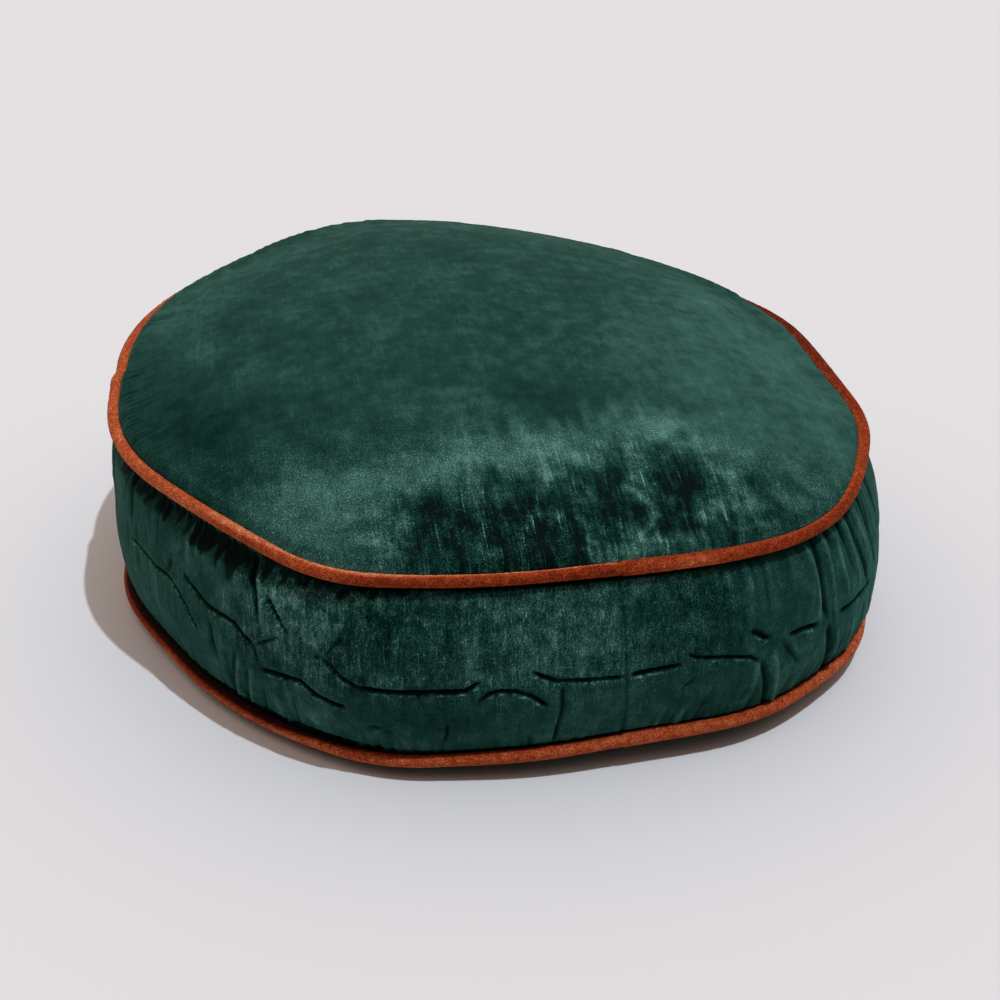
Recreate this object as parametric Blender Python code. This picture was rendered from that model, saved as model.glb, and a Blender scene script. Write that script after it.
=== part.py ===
"""Round boxed seat cushion: a filled velvet cushion with piping sewn into both seams.

Metres, +Z up. The cushion lies on its flat base at z = 0, and the origin is the middle of
that base. A direction is an angle in degrees round +Z, counted from +X.
"""

from collections import namedtuple
from math import cos, pi, radians, sin

import bmesh
import bpy

# Piping: a wrapped cord in each seam, in a tuck of the cloth that stays clear of it
PIPING_RADIUS = 0.0034
PIPING_GAP = 0.0009
LOWER_SEAM_Z = 0.0086
LOWER_SEAM_LIFT = 0.0080
LIFT_DIRECTION = 300.0
LIFT_SPAN_DEG = 65.0
UPPER_SEAM_Z = 0.1187
UPPER_SEAM_SLOPE = -0.0195
LAP_DIRECTION = 289.0
LAP_DEG = 5.0
LAP_SWELL = 0.12

# Panels and band
BASE_SHARE = 0.80
CROWN_RISE = 0.0400
CROWN_FULLNESS = 0.80
BELLY = 0.0115
BELLY_FULLNESS = 0.75
BELLY_SLACK = 0.0036
SLACK_DIRECTION = 196.0
SLACK_SPAN_DEG = 40.0

# Velvets, as linear red, green and blue
GREEN = (0.022, 0.075, 0.062)
RUST = (0.270, 0.062, 0.022)
VELVET_ROUGHNESS = 0.85

# How finely a section and the outline are divided
DIRECTIONS = 88
UNDERSIDE_RINGS = 3
TUCK_RINGS = 5
TUCK_OPENING_DEG = 65.0
BAND_RINGS = 13
CROWN_RINGS = 10
CROWN_RING_SPREAD = 1.3
SHARP_DEG = 50.0
CORNER_DEG = 6.0
CORNER_STEPS = 7

# Each seam's outline: the soft corners it turns at, with the cloth nearly straight between
Corner = namedtuple("Corner", "direction reach")
UPPER_OUTLINE = (
    Corner(5, 0.2085),
    Corner(14, 0.2076),
    Corner(24, 0.2103),
    Corner(36, 0.2045),
    Corner(50, 0.2038),
    Corner(65, 0.2110),
    Corner(80, 0.2205),
    Corner(95, 0.2340),
    Corner(110, 0.2470),
    Corner(125, 0.2355),
    Corner(140, 0.2235),
    Corner(152, 0.2220),
    Corner(166, 0.2175),
    Corner(186, 0.2106),
    Corner(198, 0.2144),
    Corner(210, 0.2141),
    Corner(229, 0.2112),
    Corner(250, 0.2314),
    Corner(263, 0.2223),
    Corner(275, 0.2176),
    Corner(296, 0.2221),
    Corner(307, 0.2346),
    Corner(318, 0.2446),
    Corner(330, 0.2358),
    Corner(348, 0.2262),
)
LOWER_OUTLINE = (
    Corner(8, 0.2205),
    Corner(25, 0.2125),
    Corner(45, 0.2095),
    Corner(65, 0.2130),
    Corner(80, 0.2220),
    Corner(95, 0.2325),
    Corner(110, 0.2405),
    Corner(125, 0.2330),
    Corner(140, 0.2250),
    Corner(155, 0.2175),
    Corner(172, 0.2125),
    Corner(191, 0.2145),
    Corner(201, 0.2124),
    Corner(213, 0.2082),
    Corner(225, 0.2134),
    Corner(240, 0.2193),
    Corner(257, 0.2310),
    Corner(278, 0.2258),
    Corner(296, 0.2294),
    Corner(307, 0.2446),
    Corner(322, 0.2446),
    Corner(332, 0.2466),
    Corner(350, 0.2369),
)

# The band's main creases, where its cloth is pushed together: a soft trough from one place to
# another, each place a direction and a share of the band's height
Crease = namedtuple("Crease", "start start_share end end_share depth")
CREASE_WIDTH = 0.0075
CREASE_FADE_DEG = 3.0
BAND_CREASES = (
    Crease(22, 0.52, 41, 0.46, 0.0022),
    Crease(58, 0.41, 84, 0.47, 0.0025),
    Crease(96, 0.55, 113, 0.44, 0.0022),
    Crease(131, 0.43, 158, 0.50, 0.0025),
    Crease(176, 0.48, 196, 0.57, 0.0020),
    Crease(205, 0.56, 221, 0.55, 0.0020),
    Crease(219, 0.56, 229, 0.35, 0.0025),
    Crease(224, 0.65, 242, 0.47, 0.0025),
    Crease(240, 0.36, 253, 0.30, 0.0018),
    Crease(249, 0.60, 257, 0.44, 0.0030),
    Crease(257, 0.44, 270, 0.45, 0.0030),
    Crease(270, 0.38, 279, 0.36, 0.0018),
    Crease(276, 0.50, 296, 0.45, 0.0025),
    Crease(296, 0.50, 308, 0.42, 0.0022),
    Crease(311, 0.49, 331, 0.41, 0.0022),
    Crease(342, 0.46, 361, 0.50, 0.0020),
)


def turn_between(start, end):
    """The shortest turn from one direction to another."""
    return (end - start + 180.0) % 360.0 - 180.0


def straight_reach(outline, direction):
    """How far out the outline lies in one direction, with straight sides between its corners."""
    for here, following in zip(outline, outline[1:] + outline[:1]):
        span = turn_between(here.direction, following.direction)
        along = turn_between(here.direction, direction)
        if 0.0 <= along <= span:
            before, after = radians(along), radians(span - along)
            width = here.reach * sin(before) + following.reach * sin(after)
            return here.reach * following.reach * sin(before + after) / width
    raise ValueError("the outline isn't closed")


def seam_reach(outline, direction):
    """The outline with its corners softened, as its mean over a few degrees either way."""
    offsets = [CORNER_DEG * (2 * i / (CORNER_STEPS - 1) - 1) for i in range(CORNER_STEPS)]
    return sum(straight_reach(outline, direction + o) for o in offsets) / CORNER_STEPS


def nearness(direction, middle, span):
    """1 in the middle direction, falling softly to 0 at the span either side of it."""
    away = min(abs(turn_between(middle, direction)) / span, 1.0)
    return cos(away * pi / 2.0) ** 2


def lower_seam_z(direction, reach):
    """The lower seam's height: it is drawn up off the base round the join of the band."""
    return LOWER_SEAM_Z + LOWER_SEAM_LIFT * nearness(direction, LIFT_DIRECTION, LIFT_SPAN_DEG)


def upper_seam_z(direction, reach):
    """The upper seam's height: it stands a little higher towards -X."""
    return UPPER_SEAM_Z + UPPER_SEAM_SLOPE * reach * cos(radians(direction))


def tuck(reach, height):
    """The tuck of cloth that holds a piping: below it, round its inner side, then above it."""
    radius = PIPING_RADIUS + PIPING_GAP
    angles = [
        radians(180.0 + TUCK_OPENING_DEG * (1 - 2 * i / (TUCK_RINGS - 1)))
        for i in range(TUCK_RINGS)
    ]
    return [(reach + radius * cos(a), height + radius * sin(a)) for a in angles]


def crown_height(reach, edge):
    """How far the top panel rises above its edge."""
    return CROWN_RISE * (1.0 - (reach / edge) ** 2) ** CROWN_FULLNESS


def crease_depth(direction, share, band_height):
    """How far the creases draw the band in at one place."""
    depth = 0.0
    for crease in BAND_CREASES:
        span = turn_between(crease.start, crease.end)
        along = turn_between(crease.start, direction)
        past_end = max(-along, along - span, 0.0) / CREASE_FADE_DEG
        part = min(max(along / span, 0.0), 1.0)
        middle = crease.start_share + (crease.end_share - crease.start_share) * part
        gap = (share - middle) * band_height / CREASE_WIDTH
        depth = max(depth, crease.depth * 2.0 ** -(gap**2 + past_end**2))
    return depth


def section(direction):
    """The half section in one direction: (reach, height) from the base's edge to the crown."""
    lower_reach = seam_reach(LOWER_OUTLINE, direction)
    lower = tuck(lower_reach, lower_seam_z(direction, lower_reach))
    upper_reach = seam_reach(UPPER_OUTLINE, direction)
    upper = tuck(upper_reach, upper_seam_z(direction, upper_reach))

    edge, lift = lower[0]
    points = []
    for i in range(UNDERSIDE_RINGS):
        share = i / UNDERSIDE_RINGS
        points.append((edge * (BASE_SHARE + (1.0 - BASE_SHARE) * share), lift * share**2))
    points += lower

    bulge = BELLY - BELLY_SLACK * nearness(direction, SLACK_DIRECTION, SLACK_SPAN_DEG)
    (low_reach, low_z), (high_reach, high_z) = lower[-1], upper[0]
    for i in range(1, BAND_RINGS + 1):
        share = i / (BAND_RINGS + 1)
        belly = bulge * sin(pi * share) ** BELLY_FULLNESS
        belly -= crease_depth(direction, share, high_z - low_z)
        reach = low_reach + (high_reach - low_reach) * share + belly
        points.append((reach, low_z + (high_z - low_z) * share))
    points += upper

    edge, edge_z = upper[-1]
    for i in range(1, CROWN_RINGS + 1):
        reach = edge * (1.0 - (i / (CROWN_RINGS + 1)) ** CROWN_RING_SPREAD)
        level = upper_seam_z(direction, reach) + edge_z - upper_seam_z(direction, edge)
        points.append((reach, level + crown_height(reach, edge)))
    return points


def make_cushion(collection, material):
    """The filled cushion: a loft of its unlike sections round the outline, closed at both ends."""
    shape = bmesh.new()
    columns = []
    for i in range(DIRECTIONS):
        direction = 360.0 * i / DIRECTIONS
        angle = radians(direction)
        columns.append(
            [shape.verts.new((r * cos(angle), r * sin(angle), z)) for r, z in section(direction)]
        )
    for here, following in zip(columns, columns[1:] + columns[:1]):
        for level in range(len(here) - 1):
            shape.faces.new(
                (here[level], following[level], following[level + 1], here[level + 1])
            )
    shape.faces.new([column[0] for column in reversed(columns)])
    top = shape.faces.new([column[-1] for column in columns])
    bmesh.ops.poke(shape, faces=[top])
    mesh = bpy.data.meshes.new("cushion")
    shape.to_mesh(mesh)
    shape.free()
    cushion = bpy.data.objects.new("cushion", mesh)
    collection.objects.link(cushion)
    mesh.materials.append(material)
    mesh.shade_smooth()
    mesh.set_sharp_from_angle(angle=radians(SHARP_DEG))
    return cushion


def make_piping(name, outline, seam_z, collection, material):
    """One ring of piping along a seam, a little thicker where its two ends lap."""
    curve = bpy.data.curves.new(name, "CURVE")
    curve.dimensions = "3D"
    curve.twist_mode = "Z_UP"
    curve.bevel_depth = PIPING_RADIUS
    curve.bevel_resolution = 2
    line = curve.splines.new("POLY")
    line.points.add(DIRECTIONS - 1)
    line.use_cyclic_u = True
    for i, point in enumerate(line.points):
        direction = 360.0 * i / DIRECTIONS
        angle = radians(direction)
        reach = seam_reach(outline, direction)
        point.co = (reach * cos(angle), reach * sin(angle), seam_z(direction, reach), 1.0)
        in_lap = abs(turn_between(LAP_DIRECTION, direction)) < LAP_DEG
        point.radius = 1.0 + LAP_SWELL if in_lap else 1.0
    piping = bpy.data.objects.new(name, curve)
    collection.objects.link(piping)
    curve.materials.append(material)
    return piping


def make_velvet(name, colour, roughness):
    """A velvet of one colour: (red, green, blue) as linear light."""
    material = bpy.data.materials.new(name)
    material.use_nodes = True
    shader = material.node_tree.nodes["Principled BSDF"]
    shader.inputs["Base Color"].default_value = (*colour, 1.0)
    shader.inputs["Roughness"].default_value = roughness
    shader.inputs["Metallic"].default_value = 0.0
    return material


def main():
    for old in list(bpy.data.objects):
        bpy.data.objects.remove(old, do_unlink=True)
    collection = bpy.data.collections.new("round_seat_cushion")
    bpy.context.scene.collection.children.link(collection)
    green = make_velvet("green_crushed_velvet", GREEN, VELVET_ROUGHNESS)
    rust = make_velvet("rust_velvet", RUST, VELVET_ROUGHNESS)
    make_cushion(collection, green)
    make_piping("piping_top", UPPER_OUTLINE, upper_seam_z, collection, rust)
    make_piping("piping_bottom", LOWER_OUTLINE, lower_seam_z, collection, rust)


main()
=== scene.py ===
"""Round seat cushion in crushed velvet: a crowned top panel, a boxing band and a bottom panel sewn over
one soft filling, with a piping of rust velvet in each of the two seams.

Directions round the cushion are degrees from +X towards +Y, so its front, which faces -Y, is 270.
A share says how far up the band a point is: 0 at the lower seam and 1 at the upper one.
"""

import math

import bmesh
import bpy
import numpy as np
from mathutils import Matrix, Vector
from mathutils.bvhtree import BVHTree


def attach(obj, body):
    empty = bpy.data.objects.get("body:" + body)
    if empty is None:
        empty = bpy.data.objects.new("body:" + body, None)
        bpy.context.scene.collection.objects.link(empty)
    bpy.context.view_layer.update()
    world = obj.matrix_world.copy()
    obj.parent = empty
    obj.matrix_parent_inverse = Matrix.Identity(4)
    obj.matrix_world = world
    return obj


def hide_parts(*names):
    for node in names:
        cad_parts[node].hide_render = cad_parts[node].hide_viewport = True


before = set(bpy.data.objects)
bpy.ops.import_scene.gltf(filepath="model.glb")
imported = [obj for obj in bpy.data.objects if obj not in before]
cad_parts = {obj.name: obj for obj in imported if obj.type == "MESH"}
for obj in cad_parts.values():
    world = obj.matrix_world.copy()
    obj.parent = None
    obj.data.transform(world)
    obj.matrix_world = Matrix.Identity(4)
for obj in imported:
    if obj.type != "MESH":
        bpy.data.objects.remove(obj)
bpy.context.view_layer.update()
bpy.ops.object.select_all(action="DESELECT")

# ----------------------------------------------------------------
# The filling. Loose fibre stuffed into the cover, which swells between the two seams and lies flat on
# what it rests on. Only its outer form matters, so it is blown up by cloth pressure with the seams held,
# measured for the panels that are sewn over it, and then taken away again.

FORM_VOXEL = 0.005
SEAM_HOLD = 0.007  # the form is held this near a seam
FLOOR_HOLD = 0.004
PRESSURE = 4.0
SWELL_FRAMES = 20
SWELL_CAP = 0.003
SWELL_EASE = 0.05  # from a seam, until the swelling is at its cap
SEAM_STEPS = 720
SEAM_SMOOTHINGS = 16
CORD_STEP_DEG = 4.0  # the plain cord's sections are about this far apart
FAR = 1.0
# Where the lower seam is drawn in under the belly: (direction, half width in degrees, how far).
LOW_SEAM_IN = ((343.0, 13.0, 0.0045),)


def loose_copy(node, name):
    """A copy of a CAD node as a piece of its own, with its loose triangles joined."""
    copy = bpy.data.objects.new(name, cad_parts[node].data.copy())
    bpy.context.scene.collection.objects.link(copy)
    bm = bmesh.new()
    bm.from_mesh(copy.data)
    bmesh.ops.remove_doubles(bm, verts=bm.verts, dist=1e-6)
    bm.to_mesh(copy.data)
    bm.free()
    return copy


def points_of(piece):
    points = np.empty(len(piece.data.vertices) * 3, np.float32)
    piece.data.vertices.foreach_get("co", points)
    return points.reshape(-1, 3).astype(float)


def ease(amount):
    """0 up to 0, 1 from 1 on, and a soft step between."""
    amount = np.clip(amount, 0.0, 1.0)
    return amount * amount * (3.0 - 2.0 * amount)


def bell(amount):
    """1 at 0, falling off softly to both sides."""
    return np.exp(-(amount**2))


def turned_from(direction, at):
    """How many degrees past one direction the others are, from -180 to 180."""
    return (direction - at + 180.0) % 360.0 - 180.0


def all_round(count):
    """So many directions, evenly round the cushion."""
    return np.arange(count) * 360.0 / count


def soften_round(values, passes):
    """Evens out values that follow each other round the cushion."""
    for _ in range(passes):
        values = 0.25 * np.roll(values, 1, axis=0) + 0.5 * values + 0.25 * np.roll(values, -1, axis=0)
    return values


def seam_line(node):
    """The line along the middle of a piping: its reach and height in each of SEAM_STEPS directions."""
    ring = loose_copy(node, "measured_" + node)
    points = points_of(ring)
    bpy.data.objects.remove(ring)
    turn = np.degrees(np.arctan2(points[:, 1], points[:, 0]))
    order = np.argsort(turn)
    points, turn = points[order], turn[order]
    starts = np.flatnonzero(np.diff(turn) > CORD_STEP_DEG / 2.0) + 1
    middles = np.array([group.mean(axis=0) for group in np.split(points, starts)])
    known = np.degrees(np.arctan2(middles[:, 1], middles[:, 0]))
    middles[:, 0] = np.hypot(middles[:, 0], middles[:, 1])
    line = (np.interp(all_round(SEAM_STEPS), known, middles[:, k], period=360.0) for k in (0, 2))
    return [soften_round(values, SEAM_SMOOTHINGS) for values in line]


def along_seam(seam, direction):
    """(reach, height) of a seam in these directions."""
    return [np.interp(direction, all_round(SEAM_STEPS), values, period=360.0) for values in seam]


upper_seam = seam_line("piping_top")
lower_seam = seam_line("piping_bottom")
for at, half, inwards in LOW_SEAM_IN:
    lower_seam[0][:] -= inwards * bell(turned_from(all_round(SEAM_STEPS), at) / half)

form = loose_copy("cushion", "filled_form")
bpy.context.view_layer.objects.active = form
remesh = form.modifiers.new("even_cloth", "REMESH")
remesh.mode = "VOXEL"
remesh.voxel_size = FORM_VOXEL
bpy.ops.object.modifier_apply(modifier=remesh.name)

before = points_of(form)
turn = np.degrees(np.arctan2(before[:, 1], before[:, 0]))
spread = np.hypot(before[:, 0], before[:, 1])
from_seam = np.full(len(before), FAR)
for seam in (upper_seam, lower_seam):
    seam_reach, seam_height = along_seam(seam, turn)
    from_seam = np.minimum(from_seam, np.hypot(spread - seam_reach, before[:, 2] - seam_height))
held = (before[:, 2] < FLOOR_HOLD) | (from_seam < SEAM_HOLD)
hold = form.vertex_groups.new(name="sewn_and_resting")
hold.add([int(v) for v in np.flatnonzero(held)], 1.0, "REPLACE")

cloth = form.modifiers.new("swelling", "CLOTH")
cloth.settings.quality = 6
cloth.settings.use_pressure = True
cloth.settings.uniform_pressure_force = PRESSURE
cloth.settings.vertex_group_mass = hold.name
cloth.settings.effector_weights.gravity = 0.0
cloth.collision_settings.use_collision = False
for step in range(1, SWELL_FRAMES + 1):
    bpy.context.scene.frame_set(step)
bpy.ops.object.modifier_apply(modifier=cloth.name)
moved = points_of(form) - before
far = np.linalg.norm(moved, axis=1, keepdims=True)
cap = SWELL_CAP * ease(from_seam / SWELL_EASE)[:, None]
swollen = before + moved * np.minimum(1.0, cap / np.maximum(far, 1e-9))
form.data.vertices.foreach_set("co", swollen.astype(np.float32).ravel())
bpy.context.scene.frame_set(1)

round_off = form.modifiers.new("round_off", "SUBSURF")
round_off.levels = round_off.render_levels = 1
bpy.ops.object.modifier_apply(modifier=round_off.name)
form_tree = BVHTree.FromPolygons(
    [tuple(p) for p in points_of(form)], [tuple(f.vertices) for f in form.data.polygons]
)
bpy.data.objects.remove(form)

# ----------------------------------------------------------------
# The two pipings. A soft cord wrapped in a strip of rust velvet cut on the bias, sewn into each seam of the
# cushion. Its ends lap at the join of the band, and the strip puckers in short slanting wrinkles.

PIPING_RADIUS = 0.0034
# The wrapped cords: (direction, radius in millimetres, angle round the cord that parts its upper side from
# its lower one, the level of the pile on each, with painted light where the lamp falls and painted shade
# where it does not), and for the lower cord the angle from which it is painted dark as the tuck's shade.
TOP_CORD = (
    (8, 3.9, 130, -0.55, -0.82), (30, 3.8, 130, -0.57, -0.86), (50, 3.4, 60, -0.5, -0.62),
    (170, 3.7, 60, -0.44, -0.54), (196, 3.8, 30, -0.4, -0.4), (213, 3.7, 30, -0.4, -0.38),
    (222, 3.7, 30, -0.42, -0.36), (236, 3.6, 42, -0.26, -0.56), (246, 3.4, 85, -0.2, -0.47),
    (256, 3.5, 62, -0.24, -0.67), (267, 3.3, 86, -0.26, -0.65), (278, 3.3, 88, -0.24, -0.66),
    (287, 3.4, 88, -0.24, -0.68), (290, 3.5, 60, -0.62, -0.62), (298, 3.5, 60, -0.62, -0.46),
    (305, 3.5, 60, -0.62, -0.58), (316, 3.5, 85, -0.48, -0.7), (330, 3.6, 85, -0.52, -0.66),
    (345, 3.7, 120, -0.46, -0.62),
)
BOTTOM_CORD = (
    (0, 3.4, 60, -0.46, -0.42, 150), (195, 3.4, 20, -0.7, -0.5, 50), (207, 3.4, 10, -0.66, -0.5, 44),
    (215, 3.4, 15, -0.62, -0.38, 44), (228, 3.4, 20, -0.56, -0.42, 40), (240, 3.4, 20, -0.6, -0.36, 36),
    (250, 3.3, 60, -0.5, -0.38, 70), (256, 3.4, 70, -0.64, -0.45, 100), (264, 3.4, 60, -0.56, -0.47, 110),
    (275, 3.5, 60, -0.56, -0.46, 120), (300, 3.5, 60, -0.47, -0.45, 140), (320, 3.5, 90, -0.58, -0.42, 120),
)
SIDE_EASE = 34.0  # degrees
CORD_TUCK_SHADE = 0.60
CORD_TUCK_SHADE_EASE = 22.0  # degrees
PIPING_COLUMNS = 2880
PIPING_SIDES = 22
JOIN_DIRECTION = 289.0
LAP_PROUD = 0.00045  # the upper end of the strip stands proud of the end it covers
LAP_FADE = 26.0  # degrees
LAP_GROOVE = 0.0006
LAP_GROOVE_WIDTH = 0.0007
WRINKLES = 230
WRINKLE_DEPTH = 0.00026
WRINKLE_WIDTH = 0.0011
WRINKLE_REACH = 50.0  # degrees round the cord
UNEVEN = 0.035  # of the radius
PILE_FUZZ = 0.00007
PILE_RELIEF = 0.0006


def linear(hex_colour):
    """An sRGB hex colour as the linear colour that a shader takes."""
    channels = [int(hex_colour[k : k + 2], 16) / 255.0 for k in (1, 3, 5)]
    return [c / 12.92 if c <= 0.04045 else ((c + 0.055) / 1.055) ** 2.4 for c in channels] + [1.0]


def add_node(tree, kind, inputs=(), **settings):
    """Adds a node. Each of inputs is a value for a socket, or another node's socket to join to it."""
    node = tree.nodes.new("ShaderNode" + kind)
    for key, value in settings.items():
        setattr(node, key, value)
    for key, value in dict(inputs).items():
        if isinstance(value, bpy.types.NodeSocket):
            tree.links.new(value, node.inputs[key])
        else:
            node.inputs[key].default_value = value
    return node


def bare_velvet(name):
    """A new material, its empty node tree, and the place on the cushion that its patterns read."""
    material = bpy.data.materials.new(name)
    material.use_nodes = True
    material.node_tree.nodes.clear()
    return material, material.node_tree, add_node(material.node_tree, "TexCoord").outputs["Object"]


def finish_velvet(tree, level, shades, relief, relief_strength, surface):
    """Colours a velvet from its darkest shade to its lightest by level, raises its pile by relief, and
    gives it the shader's settings in surface."""
    colour = add_node(tree, "ValToRGB", {"Fac": level})
    steps = colour.color_ramp.elements
    steps[1].position, steps[1].color = 1.0, linear(shades[-1][1])
    steps[0].color = linear(shades[0][1])
    for at, shade in shades[1:-1]:
        steps.new(at).color = linear(shade)
    raised = {"Height": relief, "Strength": relief_strength, "Distance": PILE_RELIEF}
    normal = add_node(tree, "Bump", raised).outputs["Normal"]
    surface = {"Base Color": colour.outputs["Color"], "Normal": normal, **surface}
    shader = add_node(tree, "BsdfPrincipled", surface)
    add_node(tree, "OutputMaterial", {"Surface": shader.outputs[0]})


def sew_rings(name, rings, inside_ends=True, **marks):
    """A piece made of rings of points, each joined to the next; a ring may have half the points of the last.
    Its first and last rings are closed by a face each, or joined to each other where inside_ends is false.
    Each of marks is a value for every point, kept as an attribute for the material."""
    points = np.concatenate(rings)
    starts = np.cumsum([0] + [len(r) for r in rings])
    faces = []
    for first in range(len(rings) - 1 if inside_ends else len(rings)):
        second = (first + 1) % len(rings)
        many, few = len(rings[first]), len(rings[second])
        a, b, c = np.arange(many), starts[first], starts[second]
        after = (a + 1) % many
        if many == few:
            faces += np.stack([b + a, b + after, c + after, c + a], 1).tolist()
            continue
        even, odd = b + a[::2], b + a[1::2]
        inner, next_inner = c + a[:few], c + (a[:few] + 1) % few
        for corners in ((even, odd, inner), (odd, next_inner, inner), (odd, np.roll(even, -1), next_inner)):
            faces += np.stack(corners, 1).tolist()
    if inside_ends:
        faces.append(list(range(starts[1])))
        faces.append(list(range(starts[-2], starts[-1])))
    mesh = bpy.data.meshes.new(name)
    mesh.from_pydata(points.tolist(), [], faces)
    bm = bmesh.new()
    bm.from_mesh(mesh)
    bmesh.ops.recalc_face_normals(bm, faces=bm.faces)
    bm.to_mesh(mesh)
    bm.free()
    for mark, values in marks.items():
        attribute = mesh.attributes.new(mark, "FLOAT", "POINT")
        attribute.data.foreach_set("value", np.asarray(values, np.float32).ravel())
    mesh.shade_smooth()
    piece = bpy.data.objects.new(name, mesh)
    bpy.context.scene.collection.objects.link(piece)
    return piece


def rust_piping_velvet():
    """Short-pile rust velvet, cut on the bias and pulled tight round a cord. Its level starts from the
    painted light along the top of the cord and the painted shade below it and in the tuck; the pile is darker
    where it is rubbed flat in spots 4 mm apart, and shows its ground in the wrinkles.
    Its tufts are drawn 0.6 mm across, coarser than real ones, so that they show."""
    material, tree, place = bare_velvet("rust_velvet_bias_cut")
    pile = add_node(tree, "TexNoise", {"Vector": place, "Scale": 1700.0, "Detail": 1.0}).outputs["Fac"]
    spots = {"Vector": place, "Scale": 260.0, "Detail": 4.0, "Roughness": 0.6}
    rubbed = add_node(tree, "TexNoise", spots).outputs["Fac"]
    along = add_node(tree, "TexNoise", {"Vector": place, "Scale": 24.0, "Detail": 2.0}).outputs["Fac"]
    # The level starts from the cord's painted light and shade.
    level = add_node(tree, "Attribute", attribute_name="crest").outputs["Fac"]
    for pattern, strength in ((pile, 1.25), (rubbed, 0.65), (along, 0.2)):
        terms = {0: pattern, 1: strength, 2: level}
        level = add_node(tree, "Math", terms, operation="MULTIPLY_ADD").outputs[0]
    surface = {"Roughness": 0.8, "Sheen Weight": 0.14, "Sheen Roughness": 0.4, "Specular IOR Level": 0.1}
    surface["Sheen Tint"] = linear("#E8854C")
    shades = ((0.0, "#2E0701"), (0.35, "#7A2305"), (0.7, "#BA5228"), (1.0, "#E89C70"))
    finish_velvet(tree, level, shades, pile, 0.5, surface)
    return material


def outward(direction):
    """Unit vectors along the floor in these directions."""
    turn = np.radians(direction)
    return np.stack([np.cos(turn), np.sin(turn), np.zeros_like(turn)], axis=-1)


def around_cord(seam, direction, angle, radius):
    """Points on a cord laid along a seam. Angle 0 faces away from the cushion and 90 faces up."""
    known = all_round(SEAM_STEPS)
    line = outward(known) * seam[0][:, None]
    line[:, 2] = seam[1]
    out = np.cross(np.roll(line, -1, axis=0) - np.roll(line, 1, axis=0), (0.0, 0.0, 1.0))
    out /= np.linalg.norm(out, axis=1, keepdims=True)
    at, way = (
        np.stack([np.interp(direction, known, values, period=360.0) for values in points.T], -1)
        for points in (line, out)
    )
    way /= np.linalg.norm(way, axis=-1, keepdims=True)
    lift = np.radians(angle)[..., None]
    return at + radius[..., None] * (np.cos(lift) * way + np.sin(lift) * np.array([0.0, 0.0, 1.0]))


def read_off(table, direction):
    """The columns of a table of (direction, value, value, ...), read off in other directions."""
    at, *columns = np.array(table).T
    return [np.interp(direction, at, column, period=360.0) for column in columns]


rust_velvet = rust_piping_velvet()

for node, seam, cord, seed in (
    ("piping_top", upper_seam, TOP_CORD, 3),
    ("piping_bottom", lower_seam, BOTTOM_CORD, 8),
):
    chance = np.random.default_rng(seed)
    direction = JOIN_DIRECTION + all_round(PIPING_COLUMNS)
    direction, angle = np.meshgrid(direction, all_round(PIPING_SIDES))
    length = 2.0 * math.pi * seam[0].mean()
    past_join = direction - JOIN_DIRECTION
    travel = length * past_join / 360.0
    radius, parting, upper_side, lower_side, *tuck_shade_from = read_off(cord, direction)
    radius /= 1000.0
    for waves, amount in ((7, 0.5), (19, 0.3), (41, 0.2)):
        wave = np.sin(np.radians(past_join) * waves + chance.uniform(0, 6.3))
        radius += PIPING_RADIUS * UNEVEN * amount * wave
    for _ in range(WRINKLES):
        slant = chance.uniform(-0.0022, 0.0022)
        middle = chance.uniform(0.0, length)
        centre_angle = chance.uniform(-70.0, 140.0)
        away = travel - middle - slant * np.radians(angle - centre_angle)
        away = (away + length / 2.0) % length - length / 2.0
        side = turned_from(angle, centre_angle)
        width = WRINKLE_WIDTH * chance.uniform(0.5, 1.3)
        deep = WRINKLE_DEPTH * chance.uniform(0.3, 1.0)
        radius -= deep * bell(away / width) * bell(side / WRINKLE_REACH)
    radius += LAP_PROUD * (1.0 - ease(past_join / LAP_FADE))
    radius -= LAP_GROOVE * bell(np.minimum(travel, length - travel) / LAP_GROOVE_WIDTH)
    radius += PILE_FUZZ * chance.standard_normal(radius.shape)
    turned = turned_from(angle, 0.0)
    # Painted light on the side of the cord the lamp falls on, painted shade on the other, and painted shade
    # where the lower cord lies in the tuck.
    crest = lower_side + (upper_side - lower_side) * ease((turned - parting) / SIDE_EASE + 0.5)
    for start in tuck_shade_from:
        crest -= CORD_TUCK_SHADE * ease((turned - start) / CORD_TUCK_SHADE_EASE)
    rings = list(around_cord(seam, direction, angle, radius))
    piece = sew_rings(node + "_velvet", rings, inside_ends=False, crest=crest)
    piece.data.materials.append(rust_velvet)
    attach(piece, "root")
    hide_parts(node)

# ----------------------------------------------------------------
# The top panel. One round of crushed green velvet, crowned by the filling and turned in behind the piping.
# It puckers in short folds where the seam draws it in on the left, painted darker in the deeper ones, and
# its pile is brushed in patches, with painted sheen in some of them.

# Where the panel leaves the piping, round the cord: (direction, angle). It lies lower along the back.
TOP_LIPS = ((0, 172), (22, 170), (38, 128), (150, 122), (168, 140), (200, 126), (214, 116), (325, 116))
TOP_TUCK = (205.0, 188.0, 174.0)
# Columns round the panel, closer together over the front: (from, to, columns).
TOP_COLUMNS = ((160.0, 350.0, 832), (350.0, 520.0, 368))
# Rows from the lip to the middle: (share of the reach where they end, rows, and one column kept of how many).
TOP_ROWS = ((0.9975, 2, 1), (0.86, 29, 1), (0.50, 36, 2), (0.22, 22, 4), (0.09, 8, 8), (0.03, 4, 16))
LIP_EASE = 0.007
CORD_ROOM = 0.0003  # the panels stay this clear of the cord
# Where the filling lets the rim sink: (direction, half width in degrees, dip in millimetres).
RIM_DIPS = ((12, 22, 4.0), (350, 30, 0.6), (150, 30, 1.0))
RIM_DIP_INSIDE = 0.016
RIM_DIP_WIDTH = 0.022
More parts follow.
